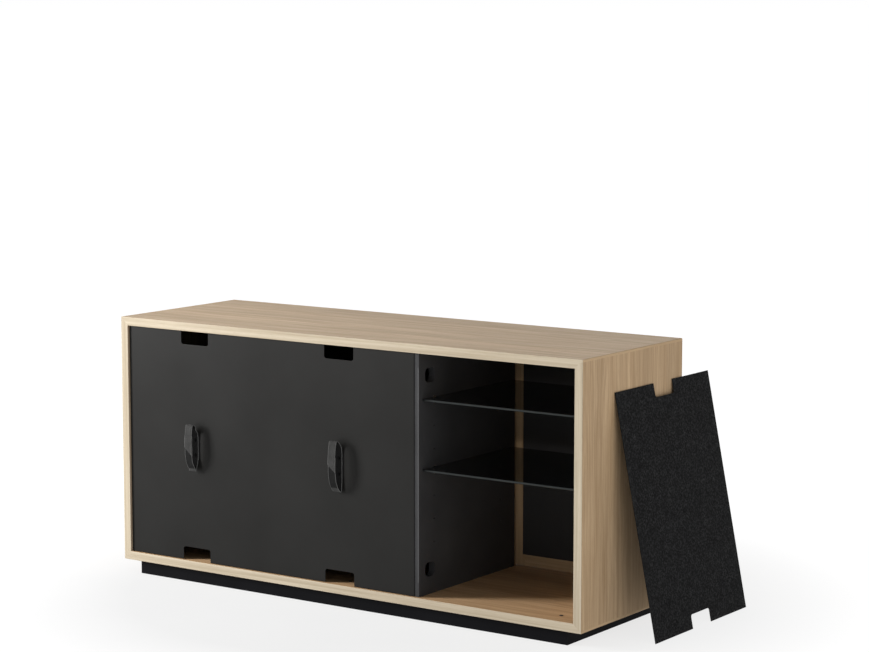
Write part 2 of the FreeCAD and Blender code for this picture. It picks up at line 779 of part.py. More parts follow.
def strap_plate(x):
    middle = PANEL_HEIGHT / 2
    plate = box(
        x - PLATE_WIDTH / 2, x + PLATE_WIDTH / 2, 0, PLATE_T,
        middle - PLATE_HEIGHT / 2, middle + PLATE_HEIGHT / 2,
    )
    corners = [edge for edge in plate.Edges if edge.BoundBox.YLength > PLATE_T / 2]
    return plate.makeFillet(4.0, corners).cut(strap_rivets(x))


def strap_rivets(x):
    """Two rivets through the strap, its plate and the panel."""
    rivets = []
    for z in (PANEL_HEIGHT / 2 - RIVET_Z, PANEL_HEIGHT / 2 + RIVET_Z):
        head_y = PLATE_T + STRAP_T
        shank = rod(RIVET_R, head_y + PANEL_T, (x, -PANEL_T, z), (0, 1, 0))
        outer = rod(RIVET_HEAD_R, RIVET_HEAD_T, (x, head_y, z), (0, 1, 0))
        rims = [edge for edge in outer.Edges if abs(edge.CenterOfMass.y - head_y) > 0.5]
        outer = outer.makeFillet(0.8, [edge for edge in rims if edge.Closed])
        rivets.append(shank.fuse(outer).removeSplitter())
    return rivets


def wide_panel_place():
    """The wide panel in place on the right divider, the right rail and half the left divider."""
    low_x = -DIVIDER_X + DIVIDER / 2 - PANEL_LAP_WIDE
    place = Matrix()
    place.move(Vector(low_x, PANEL_OUT_Y, FLOOR_Z + PANEL_GAP))
    width = INNER_HALF - PANEL_GAP - low_x
    return place, width, [BAY_X[bay] - low_x for bay in ("centre", "right")]


def small_panel_place():
    """The small panel, off and leaning on the left side, with its outer face to the cabinet."""
    high_x = -DIVIDER_X - DIVIDER / 2 + PANEL_LAP_SMALL
    width = high_x - (-INNER_HALF + PANEL_GAP)
    lean = math.asin((LEAN_FOOT - LEAN_GAP) / PANEL_HEIGHT)
    out = Vector(math.cos(lean), 0, -math.sin(lean))
    up = Vector(math.sin(lean), 0, math.cos(lean))
    along = out.cross(up)
    foot_x = -HALF_WIDTH - LEAN_FOOT
    place = Matrix(
        along.x, out.x, up.x, foot_x,
        along.y, out.y, up.y, LEAN_START,
        along.z, out.z, up.z, 0,
        0, 0, 0, 1,
    )
    return place, width, [width / 2]


def put(shape, place):
    return shape.transformed(place)


def back_panel_parts(place, width, straps_at):
    """(panel, straps, plates, rivets) of one back panel, in place."""
    panel = put(flat_panel(width, straps_at), place)
    straps = [put(strap(x), place) for x in straps_at]
    plates = [put(strap_plate(x), place) for x in straps_at]
    rivets = [put(rivet, place) for x in straps_at for rivet in strap_rivets(x)]
    return panel, straps, plates, rivets


# ---- all nodes ---------------------------------------------------------------------------------
def save_case():
    save("top_panel", top_panel())
    save("bottom_panel", bottom_panel())
    save("side_left", side_panel(-1))
    save("side_right", side_panel(1))
    save("divider_left", divider(-1))
    save("divider_right", divider(1))
    save("rear_rail_left", rear_rail(-1))
    save("rear_rail_right", rear_rail(1))
    save("mitre_splines", spline_strips())
    save("divider_dowels", divider_dowels())
    save("magnet_strips", magnet_strips())


def save_plinth():
    save("plinth_back", plinth_long_rail(PLINTH_BACK_Y - PLINTH_BOARD, PLINTH_BACK_Y))
    save("plinth_front", plinth_long_rail(PLINTH_FRONT_Y, PLINTH_FRONT_Y + PLINTH_BOARD))
    save("plinth_left", plinth_side_rail(-1))
    save("plinth_right", plinth_side_rail(1))
    save("plinth_cross_rails", plinth_cross_rails())
    save("plinth_blocks", plinth_blocks())
    save("plinth_screws", plinth_screws())
    save("foot_sockets", foot_sockets())
    save("access_plugs", access_plugs())
    for name, x, y in feet_places():
        save("foot_" + name, foot(x, y))


def save_shelves():
    save("shelf_pins", shelf_pins())
    save("shelf_pads", shelf_pads())
    for name, (bay, row) in SHELVES.items():
        save("shelf_" + name, glass_shelf(bay, row))


def save_doors():
    save("door_catches", door_catches())
    save("pivot_bushes", pivot_bushes())
    for door in DOORS:
        save("door_" + door + "_frame", door_frame(door))
        save("door_" + door + "_slats", door_slats(door))
        save("door_" + door + "_screen", door_screen(door))
        save("door_" + door + "_pins", door_pins(door))
        save("door_" + door + "_strike", door_strike(door))


def save_back_panels():
    panel, straps, plates, rivets = back_panel_parts(*wide_panel_place())
    save("back_panel_wide", panel)
    save("strap_centre", straps[0])
    save("strap_right", straps[1])
    save("strap_plates_wide", plates)
    save("strap_rivets_wide", rivets)
    panel, straps, plates, rivets = back_panel_parts(*small_panel_place())
    save("back_panel_small", panel)
    save("strap_left", straps[0])
    save("strap_plate_small", plates[0])
    save("strap_rivets_small", rivets)


os.makedirs("parts", exist_ok=True)
save_case()
save_plinth()
save_shelves()
save_doors()
save_back_panels()
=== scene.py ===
"""Looks of the media cabinet: its materials, cable straps, floor, light and camera.

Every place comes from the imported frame, in metres. The back of the cabinet faces +Y.
"""

import math

import bpy
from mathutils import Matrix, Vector


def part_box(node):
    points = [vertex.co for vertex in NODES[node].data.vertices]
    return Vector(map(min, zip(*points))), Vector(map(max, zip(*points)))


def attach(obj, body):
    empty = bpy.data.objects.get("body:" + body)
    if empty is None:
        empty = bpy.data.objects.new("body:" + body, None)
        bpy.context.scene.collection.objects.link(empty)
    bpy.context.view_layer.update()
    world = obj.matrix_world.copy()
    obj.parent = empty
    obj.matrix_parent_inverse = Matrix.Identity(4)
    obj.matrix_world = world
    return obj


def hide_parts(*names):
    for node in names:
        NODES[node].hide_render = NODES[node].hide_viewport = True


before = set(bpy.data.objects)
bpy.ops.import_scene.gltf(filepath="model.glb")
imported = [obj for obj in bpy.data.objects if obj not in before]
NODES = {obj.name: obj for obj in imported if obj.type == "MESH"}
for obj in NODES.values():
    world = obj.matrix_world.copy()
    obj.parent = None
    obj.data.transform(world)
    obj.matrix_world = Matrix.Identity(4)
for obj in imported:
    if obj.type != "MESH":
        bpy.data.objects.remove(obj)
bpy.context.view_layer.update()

MM = 0.001
X, Y, Z = 0, 1, 2
PANEL_T = 2 * MM                # steel of the back panels
SCREEN_LAP = 8 * MM             # how far a door's screen laps onto its stiles

# ---- straps, each closed on itself in a loop wide enough for a thick bundle of cables ----------
STRAP_WIDTH = 25 * MM
STRAP_T = 2.0 * MM
STRAP_EDGE = 0.8 * MM           # rounding of a strap's edges
STRAP_STEPS = 220               # sections along a strap
STRAP_COLUMNS = 10
STRAP_GAP = 0.3 * MM            # between the two layers where a strap closes on itself
STRAP_BASE = 1.6 * MM           # from the panel to the strap, over its plate
TAIL_SLANT = 21 * MM            # how much longer the tail is at one edge than at the other
TAIL_BLEND = 45 * MM            # length over which the slant grows
PILE_LENGTH = 88 * MM           # of the fuzzy end that the hooks close on
RIB_PITCH = 1.3 * MM            # of the webbing's cross ribs
WARP_PITCH = 1.6 * MM           # of its long threads
EDGE_HIGHLIGHT_FROM = 10.8 * MM       # from the strap's middle line, where the painted highlight along its edges begins
EDGE_HIGHLIGHT_FULL = 11.7 * MM
RIPPLE = 0.25 * MM              # height of the small waves along a strap's edges
RIPPLE_RATE = 260               # radians per metre

# stand-off of the outer run and of the top fold, half height, half of the flat run, how far the
# strap lifts off the panel past the flat run, height of the tail
STRAP_SHAPES = {
    "centre": (36 * MM, 27 * MM, 71 * MM, 33 * MM, 1.5 * MM, -3 * MM),
    "right": (35 * MM, 27 * MM, 67 * MM, 25 * MM, 8.0 * MM, -7 * MM),
    "left": (36 * MM, 26 * MM, 69 * MM, 30 * MM, 3.0 * MM, 2 * MM),
}


# ---- writing materials -------------------------------------------------------------------------
def rgba(colour):
    """Three numbers as a colour with full alpha; sockets pass through."""
    if isinstance(colour, tuple) and len(colour) == 3:
        return (*colour, 1.0)
    return colour


def times(colour, factor):
    """A colour scaled by one factor, or by one for each channel."""
    factors = factor if isinstance(factor, tuple) else (factor,) * 3
    return tuple(channel * share for channel, share in zip(colour, factors))


class Graph:
    """A short way to write the nodes of one material."""

    def __init__(self, name):
        self.material = bpy.data.materials.new(name)
        self.material.use_nodes = True
        self.tree = self.material.node_tree
        self.tree.nodes.clear()

    def feed(self, socket, value):
        if isinstance(value, bpy.types.NodeSocket):
            self.tree.links.new(value, socket)
        else:
            socket.default_value = value

    def add(self, kind, inputs, **settings):
        node = self.tree.nodes.new("ShaderNode" + kind)
        for name, value in settings.items():
            setattr(node, name, value)
        for socket, value in inputs.items():
            self.feed(node.inputs[socket], value)
        return node

    def math(self, operation, first, second=0.0):
        node = self.add("Math", {0: first, 1: second}, operation=operation)
        return node.outputs[0]

    def place(self):
        """The point in the row frame, in metres."""
        return self.add("TexCoord", {}).outputs["Object"]

    def parts(self, vector):
        return self.add("SeparateXYZ", {0: vector}).outputs

    def join(self, x, y, z):
        return self.add("CombineXYZ", {0: x, 1: y, 2: z}).outputs[0]

    def stretch(self, vector, x, y, z):
        node = self.add("VectorMath", {0: vector, 1: (x, y, z)}, operation="MULTIPLY")
        return node.outputs[0]

    def noise(self, vector, scale=1.0, detail=2.0, roughness=0.5):
        inputs = {"Vector": vector, "Scale": scale, "Detail": detail, "Roughness": roughness}
        return self.add("TexNoise", inputs).outputs["Fac"]

    def random(self, value):
        """One number from 0 to 1 for each whole value."""
        return self.add("TexWhiteNoise", {"W": value}, noise_dimensions="1D").outputs["Value"]

    def cells(self, vector, scale):
        return self.add("TexVoronoi", {"Vector": vector, "Scale": scale}).outputs["Distance"]

    def band(self, value, low, high, to_low=0.0, to_high=1.0):
        """value between low and high, carried over to the range to_low to to_high."""
        inputs = {0: value, 1: low, 2: high, 3: to_low, 4: to_high}
        return self.add("MapRange", inputs).outputs[0]

    def mix(self, factor, first, second):
        """A colour between two."""
        node = self.add("Mix", {0: factor}, data_type="RGBA")
        self.feed(node.inputs[6], rgba(first))
        self.feed(node.inputs[7], rgba(second))
        return node.outputs[2]

    def shade(self, colour, factor):
        """A colour made lighter or darker by a factor near 1."""
        node = self.add("VectorMath", {0: colour, 3: factor}, operation="SCALE")
        return node.outputs[0]

    def bump(self, height, distance, strength=1.0):
        inputs = {"Height": height, "Distance": distance, "Strength": strength}
        return self.add("Bump", inputs).outputs[0]

    def finish(self, inputs):
        """Closes the material with one Principled shader."""
        shader = self.add("BsdfPrincipled", {})
        for name, value in inputs.items():
            self.feed(shader.inputs[name], rgba(value) if name == "Base Color" else value)
        output = self.add("OutputMaterial", {})
        self.tree.links.new(shader.outputs[0], output.inputs[0])
        return self.material


# ---- materials ---------------------------------------------------------------------------------
# Oak tones set face by face so that each face comes out at the wanted brightness under this scene's
# light: painted light and shade, where a real case has one oak all round.
OAK_TOP = (0.610, 0.462, 0.306)
OAK_SIDE = (0.440, 0.314, 0.188)
OAK_RIGHT_SHADED = (0.380, 0.292, 0.202)   # painted shade: darker oak for the side in the full key light
OAK_INSIDE = (0.550, 0.360, 0.200)
OAK_EDGE = (0.456, 0.394, 0.298)
OAK_END = times(OAK_SIDE, 1.12)
PALE_STREAK = (1.16, 1.17, 1.20)
DARK_STREAK = (0.80, 0.75, 0.70)
PORE = (0.50, 0.42, 0.36)

DULL = 0.08                     # specular level of the dry, matt finishes
VENEER_LEAF = 172 * MM          # width of one leaf of veneer
LEAF_SHIFT = 7.3                # metres along the log from one leaf's pattern to another's, at most
RING_PITCH = 8.5 * MM           # between growth rings
RING_SLOPE = 0.050              # of the log's axis to the cut: it draws the arches


def oak(name, along, across, seed, colour):
    """Clear-lacquered oak veneer. along is the axis of the grain, across the axis at a right angle
    to it on the board's face, and seed shifts the pattern."""
    g = Graph(name)
    axes = g.parts(g.place())
    u, v, w = axes[along], axes[across], axes[X + Y + Z - along - across]

    leaf = g.math("FLOOR", g.math("DIVIDE", v, VENEER_LEAF))
    leaf_random = g.random(g.math("ADD", leaf, seed))
    on_leaf = g.math("SUBTRACT", v, g.math("MULTIPLY", leaf, VENEER_LEAF))
    leaf_u = g.math("ADD", u, g.math("MULTIPLY", leaf_random, LEAF_SHIFT))
    wander = g.noise(g.stretch(g.join(leaf_u, v, w), 2.2, 9, 9), detail=3)
    bent_v = g.math("ADD", g.math("ADD", v, seed), g.math("MULTIPLY", wander, 0.045))
    grain = g.join(leaf_u, bent_v, w)

    streaks = g.noise(g.stretch(grain, 2.6, 85, 85), detail=5, roughness=0.70)
    broad = g.noise(g.stretch(grain, 0.8, 9, 9), detail=2)
    fibres = g.noise(g.stretch(grain, 5, 330, 330), detail=3, roughness=0.6)
    pores = g.noise(g.stretch(grain, 42, 1150, 1150), detail=2, roughness=0.55)
    pore_marks = g.band(pores, 0.60, 0.74)

    # growth rings: distance from the heart of a log that leans a little to the cut
    heart = g.math("SUBTRACT", on_leaf, g.band(leaf_random, 0, 1, 0.04, 0.13))
    depth = g.math("ADD", g.math("MULTIPLY", u, RING_SLOPE), g.band(leaf_random, 0, 1, -0.02, 0.05))
    squares = g.math("ADD", g.math("MULTIPLY", heart, heart), g.math("MULTIPLY", depth, depth))
    radius = g.math("ADD", g.math("SQRT", squares), g.math("MULTIPLY", wander, 0.035))
    ring = g.math("FRACT", g.math("DIVIDE", radius, RING_PITCH))
    ring_strength = g.band(g.noise(g.stretch(grain, 1.1, 7, 7), detail=1), 0.38, 0.62, 0.05, 0.42)
    ring_line = g.math("MULTIPLY", g.band(ring, 0.05, 0.75, 1.0, 0.0), ring_strength)

    pale, dark = times(colour, PALE_STREAK), times(colour, DARK_STREAK)
    base = g.mix(g.band(streaks, 0.34, 0.66), pale, dark)
    ringed = g.mix(ring_line, base, times(dark, 0.90))
    fibred = g.mix(g.band(fibres, 0.45, 0.8, 0.0, 0.30), ringed, times(colour, PORE))
    pored = g.mix(g.math("MULTIPLY", pore_marks, 0.45), fibred, times(colour, PORE))
    leaf_tone = g.band(leaf_random, 0, 1, 0.96, 1.06)
    toned = g.shade(pored, g.math("MULTIPLY", leaf_tone, g.band(broad, 0.35, 0.65, 1.05, 0.95)))

    height = g.math("SUBTRACT", g.math("MULTIPLY", fibres, 0.35), pore_marks)
    return g.finish({
        "Base Color": toned,
        "Roughness": g.band(fibres, 0.2, 0.8, 0.52, 0.64),
        "Normal": g.bump(height, 0.00012, 0.6),
        "Specular IOR Level": DULL,
    })


def solid_oak(name, along, seed, colour):
    """Straight-grained oak: edge bands, slats and the like. along is the axis of the grain, and
    seed shifts the pattern."""
    g = Graph(name)
    axes = g.parts(g.place())
    u, v, w = axes[along], axes[(along + 1) % 3], axes[(along + 2) % 3]
    grain = g.join(g.math("ADD", u, seed), v, w)
    lines = g.noise(g.stretch(grain, 1.6, 110, 110), detail=4, roughness=0.6)
    fibres = g.noise(g.stretch(grain, 6, 420, 420), detail=3, roughness=0.6)
    pores = g.noise(g.stretch(grain, 42, 1250, 1250), detail=2)
    pore_marks = g.band(pores, 0.60, 0.74)
    base = g.mix(g.band(lines, 0.36, 0.66), times(colour, 1.10), times(colour, (0.84, 0.81, 0.77)))
    fibred = g.mix(g.band(fibres, 0.45, 0.8, 0.0, 0.25), base, times(colour, PORE))
    pored = g.mix(g.math("MULTIPLY", pore_marks, 0.35), fibred, times(colour, PORE))
    height = g.math("SUBTRACT", g.math("MULTIPLY", fibres, 0.35), pore_marks)
    return g.finish({
        "Base Color": pored,
        "Roughness": g.band(fibres, 0.2, 0.8, 0.52, 0.64),
        "Normal": g.bump(height, 0.00012, 0.6),
        "Specular IOR Level": DULL,
    })


def powder_coat(name, colour, grain_size, roughness, relief, gloss):
    """Baked paint on steel, with the fine orange peel that it dries with. relief is the peel's
    height."""
    g = Graph(name)
    place = g.place()
    peel = g.noise(place, scale=1 / grain_size, detail=3, roughness=0.6)
    cloud = g.noise(place, scale=5, detail=3)
    tone = g.math("ADD", g.math("MULTIPLY", peel, 0.6), g.math("MULTIPLY", cloud, 0.4))
    return g.finish({
        "Base Color": g.mix(g.band(tone, 0.35, 0.65), times(colour, 0.86), times(colour, 1.14)),
        "Roughness": g.band(cloud, 0.3, 0.7, roughness - 0.04, roughness + 0.04),
        "Normal": g.bump(peel, relief),
        "Specular IOR Level": gloss,
    })


def coarse_coat(name):
    """The rough black of a back panel's inner face, with its speckle painted in: paler on the
    grains that stand high and near black between them, a painted highlight and shade.
    """
    g = Graph(name)
    place = g.place()
    pebbles = g.cells(place, 420)
    grains = g.noise(place, scale=180, detail=3, roughness=0.75)
    patches = g.noise(place, scale=38, detail=3, roughness=0.6)
    # painted highlight and shade: the colour follows the grains that also raise the bump
    lit = g.math("MULTIPLY", g.band(grains, 0.44, 0.64), g.band(patches, 0.35, 0.65, 0.6, 1.0))
    height = g.math("ADD", grains, g.math("MULTIPLY", pebbles, 0.6))
    return g.finish({
        "Base Color": g.mix(lit, (0.0015, 0.0016, 0.0018), (0.0330, 0.0332, 0.0340)),
        "Roughness": g.band(grains, 0.3, 0.7, 0.60, 0.80),
        "Normal": g.bump(height, 0.0006, 0.8),
        "Specular IOR Level": 0.05,
    })


def laminate(name, colour, roughness, gloss):
    """Black laminate with a fine wood-pore emboss."""
    g = Graph(name)
    place = g.place()
    emboss = g.noise(g.stretch(place, 300, 300, 18), detail=2)
    smears = g.noise(place, scale=7, detail=4, roughness=0.6)
    return g.finish({
        "Base Color": g.mix(g.band(smears, 0.3, 0.7), times(colour, 0.86), times(colour, 1.14)),
        "Roughness": g.band(smears, 0.3, 0.7, roughness - 0.06, roughness + 0.07),
        "Normal": g.bump(emboss, 0.00010, 0.6),
        "Specular IOR Level": gloss,
    })


def plastic(name, colour):
    g = Graph(name)
    grain = g.noise(g.place(), scale=1400, detail=2)
    return g.finish({
        "Base Color": g.mix(g.band(grain, 0.3, 0.7), times(colour, 0.85), times(colour, 1.15)),
        "Roughness": g.band(grain, 0.3, 0.7, 0.50, 0.62),
        "Normal": g.bump(grain, 0.00012, 0.7),
    })


def metal(name, colour, roughness, stretch):
    """Bare or plated metal with the lines of its making."""
    g = Graph(name)
    place = g.place()
    lines = g.noise(g.stretch(place, *stretch), detail=3)
    spots = g.noise(place, scale=60, detail=3)
    return g.finish({
        "Base Color": g.mix(g.band(spots, 0.3, 0.7), times(colour, 0.88), times(colour, 1.08)),
        "Metallic": 1.0,
        "Roughness": g.band(lines, 0.3, 0.7, roughness - 0.07, roughness + 0.09),
        "Normal": g.bump(lines, 0.00005, 0.5),
    })


def smoked_glass():
    """Grey-tinted float glass with a trace of dust."""
    g = Graph("smoked_glass")
    dust = g.noise(g.place(), scale=26, detail=5, roughness=0.7)
    return g.finish({
        "Base Color": g.mix(g.band(dust, 0.4, 0.8), (0.16, 0.17, 0.17), (0.20, 0.205, 0.205)),
        "Roughness": g.band(dust, 0.45, 0.8, 0.02, 0.10),
        "Transmission Weight": 1.0,
        "IOR": 1.5,
    })


def ground_glass():
    """The ground edge of a smoked shelf: nearly black, with a satin shine."""
    g = Graph("ground_glass")
    lines = g.noise(g.stretch(g.place(), 30, 30, 1400), detail=3)
    return g.finish({
        "Base Color": g.mix(g.band(lines, 0.3, 0.7), (0.008, 0.010, 0.010), (0.018, 0.022, 0.021)),
        "Roughness": g.band(lines, 0.3, 0.7, 0.22, 0.38),
        "Specular IOR Level": 0.2,
        "Normal": g.bump(lines, 0.00004, 0.5),
    })


def screen_cloth():
    """Open black acoustic cloth: a plain weave of round threads."""
    g = Graph("screen_cloth")
    place = g.place()
    axes = g.parts(place)
    thread = 1.1 * MM
    x_wave = g.math("SINE", g.math("MULTIPLY", axes[X], math.pi / thread))
    z_wave = g.math("SINE", g.math("MULTIPLY", axes[Z], math.pi / thread))
    weave = g.math("MULTIPLY", x_wave, z_wave)
    fuzz = g.noise(place, scale=900, detail=2)
    height = g.math("ADD", g.math("MULTIPLY", weave, 0.5), fuzz)
    return g.finish({
        "Base Color": g.mix(g.band(weave, -1, 1), (0.006, 0.006, 0.007), (0.028, 0.028, 0.030)),
        "Roughness": 0.92,
        "Sheen Weight": 0.25,
        "Normal": g.bump(height, 0.0003, 0.8),
    })


def webbing():
    """Hook-and-loop strap: ribbed webbing with a painted highlight along its edges, darker loop
    pile at the end that is closed on, and a black hook face inside, painted near black also as
    painted shade inside the loop. The mesh says how far a point is along, across and through
    the strap."""
    g = Graph("strap_webbing")
    along = g.add("Attribute", {}, attribute_name="along").outputs["Fac"]
    across = g.add("Attribute", {}, attribute_name="across").outputs["Fac"]
    through = g.add("Attribute", {}, attribute_name="through").outputs["Fac"]
    lean = g.math("MULTIPLY", g.math("ABSOLUTE", across), 0.6)
    ribs = g.math("SINE", g.math("MULTIPLY", g.math("ADD", along, lean), 2 * math.pi / RIB_PITCH))
    warp = g.math("SINE", g.math("MULTIPLY", across, 2 * math.pi / WARP_PITCH))
    threads = g.math("ADD", g.math("MULTIPLY", ribs, 0.6), g.math("MULTIPLY", warp, 0.4))
    place = g.place()
    fuzz = g.noise(place, scale=1600, detail=3, roughness=0.7)
    worn = g.noise(place, scale=45, detail=3)
    is_pile = g.band(along, PILE_LENGTH + 1 * MM, PILE_LENGTH - 1 * MM)
    woven = g.mix(g.band(threads, -1, 1), (0.025, 0.025, 0.0245), (0.060, 0.0595, 0.058))
    pile = g.mix(g.band(fuzz, 0.35, 0.65), (0.007, 0.007, 0.007), (0.016, 0.016, 0.0157))
    # painted shade: the hook face is near black, darker than black hooks, for the shade inside the
    # loop
    hooks_and_shade = g.mix(g.band(fuzz, 0.35, 0.65), (0.0008, 0.0008, 0.0008), (0.0035, 0.0035, 0.0035))
    outside = g.mix(is_pile, woven, pile)
    cloth = g.mix(g.band(through, -0.1 * MM, 0.3 * MM), outside, hooks_and_shade)
    # painted highlight: the strap's edges are made pale where light catches them
    edge_highlight = g.band(g.math("ABSOLUTE", across), EDGE_HIGHLIGHT_FROM, EDGE_HIGHLIGHT_FULL)
    edged = g.mix(g.math("MULTIPLY", edge_highlight, 0.7), cloth, (0.15, 0.15, 0.147))
    flat_pile = g.band(is_pile, 0.0, 1.0, 0.5, 0.1)
    height = g.math("ADD", g.math("MULTIPLY", threads, flat_pile), fuzz)
    return g.finish({
        "Base Color": g.shade(edged, g.band(worn, 0.3, 0.7, 0.85, 1.15)),
        "Roughness": 0.85,
        "Specular IOR Level": 0.05,
        "Sheen Weight": 0.02,
        "Sheen Roughness": 0.4,
        "Normal": g.bump(height, 0.0004, 0.8),
    })


def floor_paint():
    """Near-white studio floor that glows from within, and glows less near the object: a painted
    shade round the object, in which its soft shadows also show."""
    g = Graph("floor_paint")
    place = g.place()
    mottle = g.noise(place, scale=1.5, detail=4)
    distance = g.add("VectorMath", {0: place}, operation="LENGTH").outputs["Value"]
    return g.finish({
        "Base Color": g.mix(g.band(mottle, 0.3, 0.7), (0.13, 0.13, 0.13), (0.15, 0.15, 0.15)),
        "Roughness": 0.9,
        "Specular IOR Level": 0.0,
        "Emission Color": (1.0, 1.0, 1.0, 1.0),
        # painted shade: the floor's glow drops close to the object
        "Emission Strength": g.band(distance, 0.75, 1.35, 0.76, 0.97),
    })


# ---- giving CAD nodes their finish -------------------------------------------------------------
def paint(material, *names):
    for name in names:
        mesh = NODES[name].data
        mesh.materials.clear()
        mesh.materials.append(material)


def paint_by(name, materials, choose):
    """Several finishes on one node; choose gives the number of the one that a polygon takes."""
    mesh = NODES[name].data
    mesh.materials.clear()
    for material in materials:
        mesh.materials.append(material)
    for polygon in mesh.polygons:
        polygon.material_index = int(choose(polygon))


def faces_along(polygon, axis):
    """True where a polygon faces one way or the other along an axis."""
    return abs(polygon.normal[axis]) > 0.5


def level_board_part(polygon):
    """0 on the faces of the top and bottom boards, 1 on their front and rear edges, 2 on their
    ends."""
    if faces_along(polygon, Y):
        return 1
    return 2 if faces_along(polygon, X) else 0


def side_part(polygon):
    """0 on the faces of a case side, 1 on its front and rear edges."""
    return faces_along(polygon, Y)


def paint_case():
    bands = [
        solid_oak("oak_band_level", X, 1.3, OAK_EDGE),
        solid_oak("oak_band_end", Y, 7.2, OAK_END),
    ]
    upright_band = solid_oak("oak_band_upright", Z, 4.9, OAK_EDGE)
    paint_by("top_panel", [oak("oak_top", X, Y, 0.0, OAK_TOP)] + bands, level_board_part)
    paint_by("bottom_panel", [oak("oak_bottom", X, Y, 5.3, OAK_INSIDE)] + bands, level_board_part)
    paint_by("side_left", [oak("oak_left", Z, Y, 2.1, OAK_SIDE), upright_band], side_part)
    paint_by("side_right", [oak("oak_right_shaded", Z, Y, 8.6, OAK_RIGHT_SHADED), upright_band], side_part)
    black = laminate("black_board", (0.0400, 0.0400, 0.0415), roughness=0.50, gloss=DULL)
    paint(black, "divider_left", "divider_right", "rear_rail_left", "rear_rail_right")
    paint(solid_oak("beech", Z, 1.7, OAK_EDGE), "divider_dowels", "mitre_splines")
    paint(plastic("magnet_rubber", (0.030, 0.030, 0.032)), "magnet_strips")


def paint_plinth():
    black = laminate("plinth_black", (0.0050, 0.0050, 0.0060), roughness=0.55, gloss=0.03)
    for part in ("back", "front", "left", "right", "cross_rails", "blocks"):
        paint(black, "plinth_" + part)
    zinc = metal("zinc_plate", (0.62, 0.63, 0.65), 0.32, (900, 900, 120))
    paint(zinc, "plinth_screws", "foot_sockets")
    feet = [name for name in NODES if name.startswith(("foot_front_", "foot_back_"))]
    paint(plastic("foot_plastic", (0.022, 0.022, 0.024)), "access_plugs", *feet)


def paint_shelves():
    glass, edge = smoked_glass(), ground_glass()
    for shelf in ("left_upper", "left_lower", "centre", "right"):
        paint_by("shelf_" + shelf, [glass, edge], lambda polygon: not faces_along(polygon, Z))
    paint(metal("nickel", (0.80, 0.79, 0.76), 0.22, (500, 500, 500)), "shelf_pins")
    paint(plastic("pad_rubber", (0.035, 0.035, 0.035)), "shelf_pads")


def rail_test(screen):
    """A test for the polygons of a door's frame: true on its rails, which lie between the
    stiles."""
    low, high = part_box(screen)

    def is_rail(polygon):
        return low.x + SCREEN_LAP < polygon.center.x < high.x - SCREEN_LAP

    return is_rail


def paint_doors():
    upright = solid_oak("oak_upright", Z, 3.3, OAK_SIDE)
    level = solid_oak("oak_level", X, 6.1, OAK_SIDE)
    cloth = screen_cloth()
    zinc = metal("pin_zinc", (0.60, 0.61, 0.63), 0.28, (900, 900, 120))
    for door in ("left", "centre", "right"):
        start = "door_" + door + "_"
        paint_by(start + "frame", [upright, level], rail_test(start + "screen"))
        paint(upright, start + "slats")
        paint(cloth, start + "screen")
        paint(zinc, start + "pins", start + "strike")
    paint(plastic("catch_plastic", (0.025, 0.025, 0.027)), "door_catches")
    paint(metal("brass", (0.74, 0.55, 0.27), 0.3, (700, 700, 90)), "pivot_bushes")


def paint_back_panels():
    outer = powder_coat(
        "panel_charcoal", (0.0125, 0.0121, 0.0113),
        grain_size=1.6 * MM, roughness=0.40, relief=0.00006, gloss=0.10,
    )
    inner = coarse_coat("panel_inner")
    paint_by("back_panel_wide", [outer, inner], lambda polygon: polygon.normal.y < -0.5)
    paint_by("back_panel_small", [outer, inner], lambda polygon: polygon.normal.x < -0.5)
    steel = powder_coat(
        "plate_steel", (0.020, 0.020, 0.022),
        grain_size=1.0 * MM, roughness=0.42, relief=0.00005, gloss=0.10,
    )
    paint(steel, "strap_plates_wide", "strap_plate_small")
    rivets = powder_coat(
        "rivet_black", (0.0012, 0.0012, 0.0013),
        grain_size=1.0 * MM, roughness=0.60, relief=0.00005, gloss=0.02,
    )
    paint(rivets, "strap_rivets_wide", "strap_rivets_small")


# ---- cable straps ------------------------------------------------------------------------------
class Path:
    """A smooth line through points, walked by its length."""

    def __init__(self, points, steps=24):
        ends = [points[0] * 2 - points[1]] + points + [points[-1] * 2 - points[-2]]
        self.points = []
        for before, start, end, after in zip(ends, ends[1:], ends[2:], ends[3:]):
            for step in range(steps):
                self.points.append(self.between(before, start, end, after, step / steps))
        self.points.append(points[-1])
        self.reach = [0.0]
        for start, end in zip(self.points, self.points[1:]):
            self.reach.append(self.reach[-1] + (end - start).length)
        self.length = self.reach[-1]

    @staticmethod
    def between(before, start, end, after, t):
        """Catmull-Rom curve from start to end."""
        return 0.5 * (
            2 * start
            + (end - before) * t
            + (2 * before - 5 * start + 4 * end - after) * t * t
            + (3 * start - before - 3 * end + after) * t * t * t
        )

    def at(self, distance):
        """(point, direction) at a distance along the line."""
        distance = min(max(distance, 0.0), self.length)
        low, high = 1, len(self.reach) - 1
        while low < high:
            middle = (low + high) // 2
            if self.reach[middle] < distance:
                low = middle + 1
            else:
                high = middle
        start, end = self.points[low - 1], self.points[low]
        share = (distance - self.reach[low - 1]) / (self.reach[low] - self.reach[low - 1])
        return start.lerp(end, share), (end - start).normalized()


